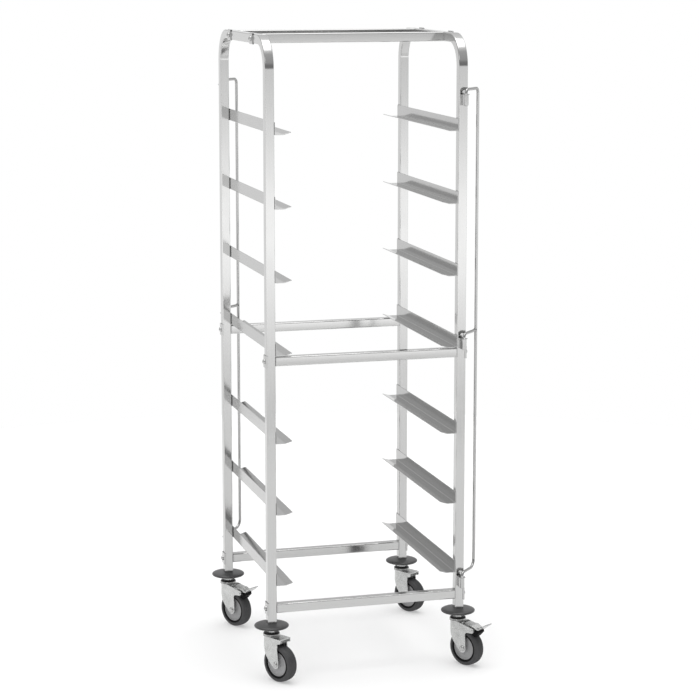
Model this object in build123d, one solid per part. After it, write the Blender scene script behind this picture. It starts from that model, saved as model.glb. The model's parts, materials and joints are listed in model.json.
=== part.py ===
from build123d import *
import math
import os

# Mobile runner trolley: two bent-tube side frames, six crossbars, seven pairs of
# runners, two swinging locking bars and four stem castors.
# Millimetres, +Z up, X across the trolley, -Y the front. The origin is on the floor,
# half way between the four posts.

# ---- Driving dimensions -------------------------------------------------------

# Frame
frame_width = 555.0            # over the outside faces of the posts, along X
frame_depth = 555.0            # over the front and rear faces of the posts, along Y
frame_height = 1730.0          # floor to the top of the bent tubes
tube_size = 25.0               # square tube, outside
tube_wall = 1.5
tube_corner = 3.0              # outside corner radius of the square tube
bend_radius = 75.0             # centre line of the bends at the top of a side frame

# Crossbars
bottom_bar_above_foot = 47.5   # lower end of the posts to the centre of the bottom pair
middle_bar_height = 873.5      # floor to the centre of the middle pair
top_bar_offset = 130.0         # from the centre plane to each top crossbar, along Y
end_plate_thickness = 3.0
saddle_sheet = 2.5
saddle_bend = 2.0              # centre-line radius
saddle_reach = 3.0             # how far a saddle's flanges wrap round its tube
saddle_length = 33.0
bolt_diameter = 8.0
bolt_hole_clearance = 0.2      # radial
bolt_head_diameter = 14.0
bolt_head_height = 5.0
bolt_end_past_nut = 3.0
nut_across_flats = 13.0
nut_height = 6.5
nut_thread_clearance = 0.05    # radial, between shank and nut

# Runners
runner_sheet = 1.5
runner_wall_height = 33.0
runner_ledge = 25.0            # flat part that carries the tray
runner_lip = 20.0              # raised inner part, measured along X
runner_lip_rise = 6.0
runner_bend = 2.0
first_runner_above_bar = 62.5  # centre of the bottom crossbar to the lowest runner's underside
lower_pitch = 195.0            # between the runners below the middle crossbars
lower_runners = 3
runner_above_bar = 2.0         # gap between the middle crossbar and the runner on it
top_space = 244.5              # underside of the top runner to the centre of the top tube
upper_runners = 4

# Locking bars and their brackets
rod_diameter = 8.0
pin_clearance = 0.08           # radial, pivot pin in its bracket
pivot_standoff = 22.0          # post face to pivot axis
bar_reach = 76.0               # pivot axis to the upright of a locking bar
pin_bend = 10.0                # centre-line radii of the rod's bends
top_corner_bend = 12.0
bottom_corner_bend = 24.0
arm_above_bracket = 14.0
pin_past_bracket = 2.0
bracket_height = 28.0
bracket_width = 18.0
bracket_sheet = 2.0
bracket_sleeve_wall = 2.4
bottom_bracket_above_bar = 52.5    # centre of the bottom crossbar to the bracket's top
middle_bracket_above_bar = 40.5    # centre of the middle crossbar to the bracket's top
top_bracket_drop = 160.0           # top of the frame to the bracket's top
collar_diameter = 18.0
collar_thickness = 2.0
collar_gap = 0.3
front_bar_angle = 47.0         # rest direction of the front locking bar, from +X
rear_bar_angle = 42.5          # rest direction of the rear locking bar, from +X

# Bumper discs
bumper_diameter = 94.0
bumper_rim = 5.0
bumper_under = 3.0             # from the rim's lower edge to the disc's underside
bumper_seat = 6.5              # underside to the seat of the post
bumper_crown = 5.5             # height of the crown above the post's seat
bumper_fit = 0.2               # gap round the post

# Castors
wheel_diameter = 100.0
wheel_width = 32.0
trail_share = 0.33             # swivel axis to axle, over the wheel's diameter
castor_heading = -58.7         # direction in which the wheels trail, from +X
hub_radius = 34.5
hub_width = 27.0
hub_web = 20.0
hub_boss_radius = 12.0
hub_rim = 4.0
tyre_groove_radius = 38.5
tyre_groove_width = 25.0
tyre_tread_width = 20.0
axle_radius = 5.0
axle_clearance = 0.05          # radial, hub on axle
axle_head_radius = 8.0
axle_head_height = 4.0
fork_sheet = 2.5
fork_inside = 36.0             # between the legs
crown_above_wheel = 21.5       # top of the wheel to the top of the crown
fork_leg_end = 12.0            # radius of the leg's end round the axle
fork_leg_slant = 40.0          # where the front edge meets that end, below the trail
fork_front_height = 18.0       # of the rounded front, below the crown
fork_brow = 4.0                # how far the front edge has run back by then
fork_waist = (-4.0, 24.0)      # the front edge half way down: along the trail, above the axle
fork_notch = 8.0               # inside corner between leg and horn
fork_horn = 7.0                # radius of the horn round the brake pin
fork_tongue = 6.0              # crown behind the leg's end, on a castor with no brake
fork_skirt = 11.0
race_radius = 23.0
race_height = 6.5              # raceway above the crown
kingpin_radius = 6.0
kingpin_clearance = 0.06       # radial, fork on kingpin
kingpin_head_radius = 10.0
kingpin_head_height = 3.0
swivel_gap = 0.3
cover_radius = 21.5
cover_thickness = 2.6
lock_nut_across_flats = 24.0
lock_nut_height = 12.6
stem_neck_radius = 8.0
stem_plug_length = 36.0
stem_plug_fit = 0.1            # gap to the inside of the post
stem_hole_fit = 0.2

# Brakes
brake_pivot_off_tread = 15.0   # tread to the brake pin
brake_pivot_angle = 59.5       # of the brake pin round the axle, from the trail
brake_pin_radius = 3.0
brake_pin_clearance = 0.06     # radial, pin in the fork
brake_pin_head = 1.5
pedal_sheet = 2.5
pedal_width = 30.0
pedal_ear = 6.0                # radius of the ears round the brake pin
pedal_line = ((-36.0, 13.0), (-4.0, 12.0), (8.0, 6.0), (19.0, 5.0), (42.0, 22.0))  # from the pin
pedal_slot = (8.0, 5.0)        # along and across the lever
pedal_slot_place = (13.5, 7.0) # behind the pin, and to each side of the middle
shoe_width = 23.0
brake_travel = 10.0            # degrees, lever up to lever down
shoe_gap = 0.6                 # shoe to tread with the lever down
shoe_start = 34.0              # angles of the shoe's face round the axle
shoe_end = 58.0

# ---- Worked-out places --------------------------------------------------------

half_tube = tube_size / 2
post_x = frame_width / 2 - half_tube
post_y = frame_depth / 2 - half_tube
top_tube_height = frame_height - half_tube
inner_face = post_x - half_tube
bar_length = 2 * (inner_face - end_plate_thickness)
bolt_hole_radius = bolt_diameter / 2 + bolt_hole_clearance
pin_radius = rod_diameter / 2

axle_height = wheel_diameter / 2
castor_trail = wheel_diameter * trail_share
fork_outside = fork_inside / 2 + fork_sheet
fork_crown_height = wheel_diameter + crown_above_wheel
race_top = fork_crown_height + race_height
cover_low = race_top + swivel_gap
lock_nut_low = cover_low + cover_thickness
bumper_underside = lock_nut_low + lock_nut_height
post_foot_height = bumper_underside + bumper_seat
bottom_bar_height = post_foot_height + bottom_bar_above_foot
brake_pivot_radius = wheel_diameter / 2 + brake_pivot_off_tread
brake_pivot = (
    castor_trail + brake_pivot_radius * math.cos(math.radians(brake_pivot_angle)),
    axle_height + brake_pivot_radius * math.sin(math.radians(brake_pivot_angle)),
)

first_runner = bottom_bar_height + first_runner_above_bar
first_upper_runner = middle_bar_height + half_tube + runner_above_bar
upper_pitch = (top_tube_height - top_space - first_upper_runner) / (upper_runners - 1)
runner_heights = [first_runner + lower_pitch * i for i in range(lower_runners)]
runner_heights += [first_upper_runner + upper_pitch * i for i in range(upper_runners)]
bracket_top_heights = (
    bottom_bar_height + bottom_bracket_above_bar,
    middle_bar_height + middle_bracket_above_bar,
    frame_height - top_bracket_drop,
)

# Each crossbar: name, its place along Y, its height, and whether it meets an upright.
crossbars = []
for row, bar_y, bar_z, on_post in (
    ("bottom", post_y, bottom_bar_height, True),
    ("middle", post_y, middle_bar_height, True),
    ("top", top_bar_offset, top_tube_height, False),
):
    crossbars.append((f"{row}_crossbar_front", -bar_y, bar_z, on_post))
    crossbars.append((f"{row}_crossbar_rear", bar_y, bar_z, on_post))

# Each corner: name, side along X, side along Y, and whether its castor has a brake.
corners = (
    ("front_left", -1, -1, False),
    ("front_right", 1, -1, True),
    ("rear_left", -1, 1, True),
    ("rear_right", 1, 1, False),
)


def save(node, *solids):
    """Write one node, a single solid or a group of separate ones."""
    shape = solids[0] if len(solids) == 1 else Compound(children=list(solids))
    export_step(shape, f"parts/{node}.step")


def cylinder(radius, low, high):
    """An upright cylinder on the Z axis between two heights."""
    return Pos(0, 0, low) * extrude(Circle(radius), amount=high - low)


def across(solid, z, u=0.0):
    """Lay a solid made along Z so that it runs along Y at a place (u, z)."""
    return Pos(u, 0, z) * Rot(90, 0, 0) * solid


def tube_section():
    """The hollow square section of the frame's tube, centred."""
    outer = RectangleRounded(tube_size, tube_size, tube_corner)
    bore = tube_size - 2 * tube_wall
    return outer - RectangleRounded(bore, bore, tube_corner - tube_wall)


# ---- Frame --------------------------------------------------------------------

def side_frame(side):
    """An inverted U of square tube: front post, top tube and rear post."""
    route = FilletPolyline(
        (0, -post_y, post_foot_height),
        (0, -post_y, top_tube_height),
        (0, post_y, top_tube_height),
        (0, post_y, post_foot_height),
        radius=bend_radius,
    )
    frame = sweep(Plane(origin=route @ 0, z_dir=route % 0) * tube_section(), path=route)
    hole = Rot(0, 90, 0) * extrude(Circle(bolt_hole_radius), amount=tube_size, both=True)
    for _, bar_y, bar_z, _ in crossbars:
        frame -= Pos(0, bar_y, bar_z) * hole
    return Pos(side * post_x, 0, 0) * frame


def crossbar():
    """A plain length of square tube along X, centred."""
    return Rot(0, 90, 0) * extrude(tube_section(), amount=bar_length / 2, both=True)


def end_plate():
    """The plate and nut welded in one end of a crossbar, at the +X end."""
    plate = extrude(RectangleRounded(tube_size, tube_size, tube_corner), amount=end_plate_thickness)
    plate -= extrude(Circle(bolt_hole_radius), amount=end_plate_thickness)
    nut = extrude(RegularPolygon(nut_across_flats / 2, 6, major_radius=False), amount=-nut_height)
    nut -= extrude(Circle(bolt_diameter / 2 + nut_thread_clearance), amount=-nut_height)
    return Pos(inner_face - end_plate_thickness, 0, 0) * Rot(0, 90, 0) * (plate + nut)


def saddle():
    """The channel-shaped washer outside the frame, its flanges above and below."""
    web_x = post_x + half_tube + saddle_sheet / 2
    tip_x = post_x + half_tube - saddle_reach
    flange_z = half_tube + saddle_sheet / 2
    line = FilletPolyline(
        (tip_x, -flange_z), (web_x, -flange_z), (web_x, flange_z), (tip_x, flange_z), radius=saddle_bend
    )
    channel = extrude(Plane.XZ * trace(line, saddle_sheet), amount=saddle_length / 2, both=True)
    hole = extrude(Circle(bolt_hole_radius), amount=2 * saddle_sheet, both=True)
    return channel - Pos(web_x, 0, 0) * Rot(0, 90, 0) * hole


def bar_bolt():
    """A domed bolt from the saddle through the tube into the crossbar's nut."""
    seat = post_x + half_tube + saddle_sheet
    tip = inner_face - end_plate_thickness - nut_height - bolt_end_past_nut
    shank = extrude(Circle(bolt_diameter / 2), amount=-(seat - tip))
    head = extrude(Circle(bolt_head_diameter / 2), amount=bolt_head_height)
    head = fillet(head.edges().sort_by(Axis.Z)[-1], bolt_head_height * 0.6)
    return Pos(seat, 0, 0) * Rot(0, 90, 0) * (shank + head)


def at_bar_ends(piece):
    """Copies of a +X piece at both ends of every crossbar."""
    copies = []
    for _, bar_y, bar_z, on_post in crossbars:
        turned = Rot(90, 0, 0) * piece if on_post else piece
        for side in (0, 180):
            copies.append(Pos(0, bar_y, bar_z) * Rot(0, 0, side) * turned)
    return copies


def runner():
    """A right-hand runner: wall, ledge and raised lip, lying along Y at height 0."""
    ledge_x = inner_face - runner_ledge
    lip_x = ledge_x - runner_lip
    half = runner_sheet / 2
    line = FilletPolyline(
        (inner_face - half, runner_wall_height),
        (inner_face - half, half),
        (ledge_x, half),
        (lip_x, half + runner_lip_rise),
        radius=runner_bend,
    )
    section = Plane.XZ * trace(line, runner_sheet)
    return extrude(section, amount=frame_depth / 2, both=True)


# ---- Locking bars -------------------------------------------------------------

def rod(route):
    """Round rod along a route."""
    return sweep(Plane(origin=route @ 0, z_dir=route % 0) * Circle(pin_radius), path=route)


def locking_bar():
    """The bent rod with three arms, its pivot on Z and its arms along +X."""
    bottom, middle, top = bracket_top_heights
    pin_end = bracket_height + pin_past_bracket
    loop = FilletPolyline(
        (0, 0, top - pin_end),
        (0, 0, top + arm_above_bracket),
        (bar_reach, 0, top + arm_above_bracket),
        (bar_reach, 0, bottom + arm_above_bracket),
        (0, 0, bottom + arm_above_bracket),
        (0, 0, bottom - pin_end),
        radius=(pin_bend, top_corner_bend, bottom_corner_bend, pin_bend),
    )
    arm = FilletPolyline(
        (bar_reach, 0, middle + arm_above_bracket),
        (0, 0, middle + arm_above_bracket),
        (0, 0, middle - pin_end),
        radius=pin_bend,
    )
    bar = rod(loop) + rod(arm)
    for height in bracket_top_heights:
        low = height + collar_gap
        bar += cylinder(collar_diameter / 2, low, low + collar_thickness)
    return bar


def pivot_bracket():
    """A sheet bracket for a front face: two feet, two cheeks and a sleeve at the pivot."""
    sleeve = pin_radius + pin_clearance + bracket_sleeve_wall
    face = Pos(0, -pivot_standoff) * Circle(sleeve)
    face += Pos(0, -bracket_sheet / 2) * Rectangle(bracket_width, bracket_sheet)
    for side in (-1, 1):
        cheek_x = side * (sleeve - bracket_sheet / 2)
        face += Pos(cheek_x, -pivot_standoff / 2) * Rectangle(bracket_sheet, pivot_standoff)
    face -= Pos(0, -pivot_standoff) * Circle(pin_radius + pin_clearance)
    return extrude(face, amount=-bracket_height)


def bracket_group(side):
    """The three brackets of one locking bar: side -1 is at the front right post."""
    group = []
    for height in bracket_top_heights:
        place = Rot(0, 0, 0 if side < 0 else 180) * Pos(post_x, -post_y - half_tube, height)
        group.append(place * pivot_bracket())
    return group


def pivot_place(side):
    """The pivot axis of a locking bar, for side -1 (front right) or 1 (rear left)."""
    return -side * post_x, side * (post_y + half_tube + pivot_standoff)


# ---- Castors ------------------------------------------------------------------

def bumper():
    """The disc between post and castor, centred on the post."""
    under = bumper_underside
    rim_low = under + bumper_under
    rim_high = rim_low + bumper_rim
    crown = post_foot_height + bumper_crown
    radius = bumper_diameter / 2
    with BuildSketch(Plane.XZ) as profile:
        with BuildLine():
            Polyline((0, crown), (0, under), (radius * 0.55, under))
            Line((radius * 0.55, under), (radius - bumper_rim / 2, rim_low))
            ThreePointArc(
                (radius - bumper_rim / 2, rim_low),
                (radius, (rim_low + rim_high) / 2),
                (radius - bumper_rim / 2, rim_high),
            )
            Spline((radius - bumper_rim / 2, rim_high), (radius * 0.55, crown - 1.2), (0, crown))
        make_face()
    disc = revolve(profile.sketch, Axis.Z)
    seat = tube_size + 2 * bumper_fit
    disc -= Pos(0, 0, post_foot_height) * extrude(
        RectangleRounded(seat, seat, tube_corner), amount=2 * bumper_crown
    )
    return disc - cylinder(stem_neck_radius + stem_hole_fit, under, crown)


def castor_stem():
    """Plug in the post, neck, lock nut, kingpin and its riveted head."""
    plug = tube_size - 2 * tube_wall - 2 * stem_plug_fit
    stem = Pos(0, 0, post_foot_height) * extrude(
        RectangleRounded(plug, plug, tube_corner - tube_wall), amount=stem_plug_length
    )
    stem += cylinder(stem_neck_radius, lock_nut_low, post_foot_height)
    stem += Pos(0, 0, lock_nut_low) * extrude(
        RegularPolygon(lock_nut_across_flats / 2, 6, major_radius=False), amount=lock_nut_height
    )
    head_high = fork_crown_height - fork_sheet - swivel_gap
    stem += cylinder(kingpin_radius, head_high, lock_nut_low)
    return stem + cylinder(kingpin_head_radius, head_high - kingpin_head_height, head_high)


def dust_cover():
    """The dished ring that closes the top of the swivel."""
    ring = cylinder(cover_radius, cover_low, lock_nut_low)
    ring = fillet(ring.edges().sort_by(Axis.Z)[-1], cover_thickness * 0.6)
    return ring - cylinder(kingpin_radius, cover_low, lock_nut_low)


def leg_outline(braked):
    """The fork's side face: along the trail and up, from the front of the crown round."""
    front = -fork_outside
    crown = fork_crown_height
    axle_u = castor_trail
    end = fork_leg_end
    slant = math.radians(fork_leg_slant)
    leg_front = (axle_u - end * math.cos(slant), axle_height - end * math.sin(slant))
    leg_low = (axle_u + end * math.sin(slant), axle_height - end * math.cos(slant))
    leg_back = (axle_u + end, axle_height)
    brow = (front + fork_brow, crown - fork_front_height)
    waist = (fork_waist[0], axle_height + fork_waist[1])
    with BuildSketch(Plane.XZ) as outline:
        with BuildLine():
            Polyline((front, crown), (front, crown - fork_front_height / 2), brow)
            Spline(brow, waist, leg_front)
            ThreePointArc(leg_front, leg_low, leg_back)
            if braked:
                pin_u, pin_z = brake_pivot
                low = (pin_u, pin_z - fork_horn)
                high = (pin_u, pin_z + fork_horn)
                FilletPolyline(leg_back, (axle_u + end - 2, low[1] - 2), low, radius=fork_notch)
                ThreePointArc(low, (pin_u + fork_horn, pin_z), high)
                Polyline(high, (race_radius, crown), (front, crown))
            else:
                tongue = axle_u + end + fork_tongue
                skirt = crown - fork_skirt
                FilletPolyline(leg_back, (leg_back[0] - 6, skirt - 3), (tongue, skirt), radius=fork_notch / 2)
                Polyline((tongue, skirt), (tongue, crown), (front, crown))
        make_face()
    return outline.sketch


def rounded_plan(half_width):
    """A plan view with a half-round front, running back past the whole castor."""
    reach = 2 * wheel_diameter
    return Circle(half_width) + Pos(reach / 2, 0) * Rectangle(reach, 2 * half_width)


def fork(braked):
    """A pressed fork: crown, rounded front, two legs and the raceway on top."""
    crown = fork_crown_height
    body = extrude(leg_outline(braked), amount=fork_outside, both=True)
    body &= extrude(rounded_plan(fork_outside), amount=crown)
    body -= extrude(rounded_plan(fork_inside / 2), amount=crown - fork_sheet)
    if braked:
        reach = 2 * wheel_diameter
        window = Pos(race_radius + reach / 2, 0) * Rectangle(reach, fork_inside)
        body -= extrude(window, amount=crown)
        pin_hole = extrude(Circle(brake_pin_radius + brake_pin_clearance), amount=fork_inside, both=True)
        body -= across(pin_hole, brake_pivot[1], brake_pivot[0])
    body += cylinder(race_radius, crown, race_top)
    body -= cylinder(kingpin_radius + kingpin_clearance, 0, race_top)
    axle_hole = extrude(Circle(axle_radius), amount=fork_inside, both=True)
    return body - across(axle_hole, axle_height, castor_trail)


def axle():
    """The axle bolt with a domed head and a nut outside the fork legs."""
    bolt = extrude(Circle(axle_radius), amount=fork_outside, both=True)
    head = Pos(0, 0, fork_outside) * extrude(Circle(axle_head_radius), amount=axle_head_height)
    head = fillet(head.edges().sort_by(Axis.Z)[-1], axle_head_height * 0.5)
    nut = Pos(0, 0, -fork_outside - axle_head_height) * extrude(
        RegularPolygon(axle_head_radius, 6), amount=axle_head_height
    )
    return across(bolt + head + nut, axle_height, castor_trail)


def ring_on_axle(points):
    """A ring turned about the axle from (radius, across) points, closed."""
    face = Plane.XY * make_face(Polyline(*points, close=True))
    turned = revolve(face, Axis.Y)
    return Pos(castor_trail, 0, axle_height) * turned


def wheel_hub():
    """The moulded wheel centre: boss, web and rim."""
    bore = axle_radius + axle_clearance
    rim_in = hub_radius - hub_rim
    half = hub_width / 2
    web = hub_web / 2
    return ring_on_axle([
        (bore, -half), (hub_boss_radius, -half), (hub_boss_radius + 1, -web), (rim_in, -web),
        (rim_in + 1, -half), (hub_radius, -half), (hub_radius, half), (rim_in + 1, half),
        (rim_in, web), (hub_boss_radius + 1, web), (hub_boss_radius, half), (bore, half),
    ])


def tyre():
    """The tyre: a recessed bead next to the hub, round walls and a crowned tread."""
    outer = wheel_diameter / 2
    bead = tyre_groove_width / 2
    wall = wheel_width / 2
    tread = tyre_tread_width / 2
    with BuildSketch(Plane.XY) as section:
        with BuildLine():
            Polyline((tyre_groove_radius, -bead), (hub_radius, -bead), (hub_radius, bead),
                     (tyre_groove_radius, bead), (tyre_groove_radius + 1, wall))
            Spline((tyre_groove_radius + 1, wall), (outer - 3.5, wall - 1.5), (outer - 0.6, tread))
            ThreePointArc((outer - 0.6, tread), (outer, 0), (outer - 0.6, -tread))
            Spline((outer - 0.6, -tread), (outer - 3.5, 1.5 - wall), (tyre_groove_radius + 1, -wall))
            Line((tyre_groove_radius + 1, -wall), (tyre_groove_radius, -bead))
        make_face()
    return Pos(castor_trail, 0, axle_height) * revolve(section.sketch, Axis.Y)


def brake_pedal():
    """The foot lever with its two ears and the brake pin."""
    pivot_u, pivot_z = brake_pivot
    line = FilletPolyline(
        *[(pivot_u + du, pivot_z + dz) for du, dz in pedal_line], radius=pedal_sheet + 0.5
    )
    plate = extrude(Plane.XZ * trace(line, pedal_sheet), amount=pedal_width / 2, both=True)
    (_, _), (front_u, front_z), (back_u, back_z) = pedal_line[:3]
    ear = Polyline(
        (-pedal_ear, 0), (pedal_ear, 0), (back_u, back_z), (front_u, front_z), (-pedal_ear, front_z),
        close=True,
    )
    slot_u, slot_v = pedal_slot_place
    for slot_side in (-slot_v, slot_v):
        plate -= Pos(pivot_u + slot_u, slot_side, pivot_z) * Box(*pedal_slot, 4 * pedal_ear)
    side = make_face(ear) + Circle(pedal_ear)
    ears = extrude(Plane.XZ * (Pos(pivot_u, pivot_z) * side), amount=pedal_width / 2, both=True)
    ears -= Pos(pivot_u, 0, pivot_z) * Box(pedal_width, pedal_width - 2 * pedal_sheet, 2 * pedal_width)
    pin = extrude(Circle(brake_pin_radius), amount=fork_outside + brake_pin_head, both=True)
    return plate + ears + across(pin, pivot_z, pivot_u)


def brake_shoe():
    """The rubber block under the pedal; its face meets the tread with the lever down."""
    face = wheel_diameter / 2 + shoe_gap
    pivot_u, pivot_z = brake_pivot

    def on_face(angle):
        """A point of the face, turned back about the pin to where it is with the lever up."""
        turn = math.radians(angle)
        lift = math.radians(brake_travel)
        du = castor_trail + face * math.cos(turn) - pivot_u
        dz = axle_height + face * math.sin(turn) - pivot_z
        return (
            pivot_u + du * math.cos(lift) - dz * math.sin(lift),
            pivot_z + du * math.sin(lift) + dz * math.cos(lift),
        )

    with BuildSketch(Plane.XZ) as side:
        with BuildLine():
            ThreePointArc(on_face(shoe_start), on_face((shoe_start + shoe_end) / 2), on_face(shoe_end))
            Polyline(on_face(shoe_end), (pivot_u + 3, pivot_z - 4), (pivot_u + 8, pivot_z + 6),
                     (pivot_u + 18, pivot_z + 5), (pivot_u + 21, pivot_z - 12), on_face(shoe_start))
        make_face()
    block = extrude(side.sketch, amount=shoe_width / 2, both=True)
    relief = extrude(Circle(brake_pin_radius + 1), amount=shoe_width, both=True)
    block -= across(relief, pivot_z, pivot_u)
    return block - brake_pedal()


# ---- Writing the nodes --------------------------------------------------------

os.makedirs("parts", exist_ok=True)

save("side_frame_left", side_frame(-1))
save("side_frame_right", side_frame(1))
for name, bar_y, bar_z, _ in crossbars:
    save(name, Pos(0, bar_y, bar_z) * crossbar())
save("bar_end_plates", *at_bar_ends(end_plate()))
save("bar_saddles", *at_bar_ends(saddle()))
save("bar_bolts", *at_bar_ends(bar_bolt()))

right_runner = runner()
left_runner = mirror(right_runner, about=Plane.YZ)
for level, height in enumerate(runner_heights, start=1):
    save(f"runner_left_{level}", Pos(0, 0, height) * left_runner)
    save(f"runner_right_{level}", Pos(0, 0, height) * right_runner)

for end, side, angle in (("front", -1, front_bar_angle), ("rear", 1, rear_bar_angle)):
    pivot_x, pivot_y = pivot_place(side)
    save(f"pivot_brackets_{end}", *bracket_group(side))
    save(f"locking_bar_{end}", Pos(pivot_x, pivot_y, 0) * Rot(0, 0, angle) * locking_bar())

posts = [Pos(side_x * post_x, side_y * post_y, 0) for _, side_x, side_y, _ in corners]
save("dust_covers", *[post * dust_cover() for post in posts])
for post, (corner, _, _, braked) in zip(posts, corners):
    swivel = post * Rot(0, 0, castor_heading)
    save(f"bumper_{corner}", post * bumper())
    save(f"castor_stem_{corner}", post * castor_stem())
    save(f"fork_{corner}", swivel * fork(braked))
    save(f"axle_{corner}", swivel * axle())
    save(f"wheel_hub_{corner}", swivel * wheel_hub())
    save(f"tyre_{corner}", swivel * tyre())
    if braked:
        save(f"brake_pedal_{corner}", swivel * brake_pedal())
        save(f"brake_shoe_{corner}", swivel * brake_shoe())
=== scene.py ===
import json
import math

import bmesh
import bpy
from bpy.props import FloatProperty, FloatVectorProperty, IntProperty, PointerProperty
from mathutils import Matrix, Vector


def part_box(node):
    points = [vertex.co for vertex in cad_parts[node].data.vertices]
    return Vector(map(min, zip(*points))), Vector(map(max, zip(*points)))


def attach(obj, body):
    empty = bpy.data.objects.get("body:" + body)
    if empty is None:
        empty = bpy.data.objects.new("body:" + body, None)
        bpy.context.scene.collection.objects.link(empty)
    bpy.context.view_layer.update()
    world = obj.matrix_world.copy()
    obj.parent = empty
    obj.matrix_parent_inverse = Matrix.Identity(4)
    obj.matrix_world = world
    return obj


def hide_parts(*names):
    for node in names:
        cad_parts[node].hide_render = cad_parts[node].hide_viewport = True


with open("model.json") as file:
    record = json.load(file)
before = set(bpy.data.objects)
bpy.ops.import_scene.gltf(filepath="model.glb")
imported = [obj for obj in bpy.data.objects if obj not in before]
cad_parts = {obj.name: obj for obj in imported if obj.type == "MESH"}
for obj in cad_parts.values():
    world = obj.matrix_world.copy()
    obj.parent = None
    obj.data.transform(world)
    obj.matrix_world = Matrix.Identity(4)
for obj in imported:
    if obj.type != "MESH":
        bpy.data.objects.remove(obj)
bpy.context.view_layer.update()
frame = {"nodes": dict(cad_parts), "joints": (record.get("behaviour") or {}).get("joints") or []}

bl_info = {
    "name": "Runner trolley",
    "version": (1, 0, 0),
    "blender": (4, 5, 0),
    "location": "View3D > Sidebar > Trolley",
    "description": "Stainless runner trolley with locking bars and stem castors, round its CAD frame",
    "category": "Object",
}

MM = 0.001
UP = Vector((0, 0, 1))
X_AXIS = Vector((1, 0, 0))
Y_AXIS = Vector((0, 1, 0))
CORNERS = {"front_left": False, "front_right": True, "rear_left": True, "rear_right": False}
ROWS = ("bottom", "middle", "top")
LEVELS = range(1, 8)
FINISHES = {}
JOINTS = {joint["name"]: joint for joint in frame["joints"]}

# Edges rounded by the press or the mould.
END_PLATE_EDGE = 0.4 * MM
PRESSED_EDGE = 0.5 * MM
BRACKET_EDGE = 0.35 * MM
SHOE_EDGE = 0.8 * MM

# Crossbar bolts.
BOLT_SHANK = 4 * MM
BOLT_LENGTH = 36 * MM

# Bends of the locking bars, from the pins outwards.
PIN_BEND = 10 * MM
LOWER_BEND = 24 * MM
UPPER_BEND = 12 * MM
ARM_WELD = 5 * MM
ARM_WELD_PLACE = 4.5 * MM
ARM_WELD_RISE = 1.2 * MM
RUNNER_WELD_RISE = 0.4 * MM
RUNNER_WELD_SINK = 0.3 * MM
BRACKET_WELD = 1.1 * MM
BRACKET_WELD_SHARE = 0.8

# Castors.
PLUG_GAP = 3.2 * MM
PLUG_CORNER = 1.5 * MM
NECK_RADIUS = 8 * MM
NUT_BORE = 7.5 * MM
NUT_TURN = 0.35
KINGPIN_RADIUS = 6 * MM
KINGPIN_HEAD = 10 * MM
KINGPIN_HEAD_HEIGHT = 3 * MM
KINGPIN_CHAMFER = 1 * MM
RACE_HEIGHT = 6.5 * MM
CROWN_CUT = 0.5 * MM
AXLE_SEAT = 20.5 * MM
AXLE_RADIUS = 5 * MM
AXLE_END = 4 * MM
AXLE_CHAMFER = 0.4 * MM
AXLE_NUT = 13.8 * MM
AXLE_NUT_BORE = 4.9 * MM
AXLE_NUT_INNER = 0.6 * MM
AXLE_NUT_OUTER = 3.6 * MM
WHEEL_STEPS = 96
TREAD_WIDTH = 20 * MM
TREAD_CROWN = 0.6 * MM
GROOVE_DEPTH = 0.45 * MM

# Outline of a bumper disc, as shares of its radius and of its height.
BUMPER_OUTLINE = (
    (0, 1), (0.30, 1), (0.50, 0.99), (0.68, 0.96), (0.82, 0.90), (0.92, 0.80), (0.98, 0.66), (1, 0.52),
    (1, 0.40), (0.98, 0.24), (0.92, 0.11), (0.82, 0.03), (0.66, 0), (0.22, 0), (0, 0),
)
# Outlines of a dust cover and of a race ring: radius in millimetres, and share of the height.
COVER_OUTLINE = ((7, 0), (20.9, 0), (21.5, 0.2), (21.4, 0.55), (19.9, 0.95), (18.3, 1), (7, 1))
RACE_OUTLINE = (
    (6.1, 0), (23, 0), (23, 0.28), (22.4, 0.38), (22.1, 0.46), (22.4, 0.54), (23, 0.62), (23, 0.82),
    (22.2, 1), (6.1, 1),
)
# Outlines in millimetres: radius, and height above the seat or distance from the wheel's middle.
AXLE_HEAD = ((0, 4), (3, 3.9), (5.6, 3.3), (7.4, 2.1), (8, 0.9), (8, 0))
COLLAR = ((4, 0.3), (8.4, 0.3), (9, 0.7), (9, 1.9), (8.4, 2.3), (5.2, 2.3), (4, 3.2))
AXLE_WASHER = ((5, -21.1), (9.6, -21.1), (9.6, -20.5), (5, -20.5))
HUB_FACE = (
    (5.1, 13.5), (8.5, 13.5), (9.2, 12.9), (9.4, 10.6), (11.5, 10.4), (12.2, 11.2), (13.4, 11.2),
    (14.0, 10.2), (19.6, 9.9), (20.0, 10.5), (21.2, 10.5), (21.6, 9.9), (27.0, 10.2), (27.6, 10.9),
    (29.0, 10.9), (29.6, 10.4), (31.0, 10.8), (31.8, 12.6), (32.6, 13.3), (34.0, 13.3), (34.5, 12.8),
)
TYRE_WALL = (
    (34.4, 10.2), (38.6, 10.2), (39.0, 14.2), (39.6, 15.4), (40.8, 15.9), (42.6, 16.0), (44.4, 15.9),
    (46.0, 15.5), (47.4, 14.7), (48.5, 13.3), (49.1, 11.6),
)
BEAD_RING = (
    (34.3, 10.1), (33.2, 13.2), (33.6, 13.8), (36.6, 14.0), (39.2, 14.9), (41.0, 16.0), (41.0, 12.0),
    (38.7, 10.1),
)

# Studio, in metres and degrees.
FLOOR_RADIUS = 3.2
FLOOR_GLOW = 0.4
FLOOR_SHADE = 0.63
KEY_PLACE = (-3.5, -4.5, 4.5)
KEY_AIM = (0, 0, 0.9)
KEY_SIZE = 2.0
KEY_POWER = 25
LENS = 115.89
SENSOR = 36
CAMERA_SHIFT = -30 / 700
CAMERA_PLACE = (-1.6581, -5.9708, 1.9558)
CAMERA_FALL = 9.397
CAMERA_TURN = -15.775


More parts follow.
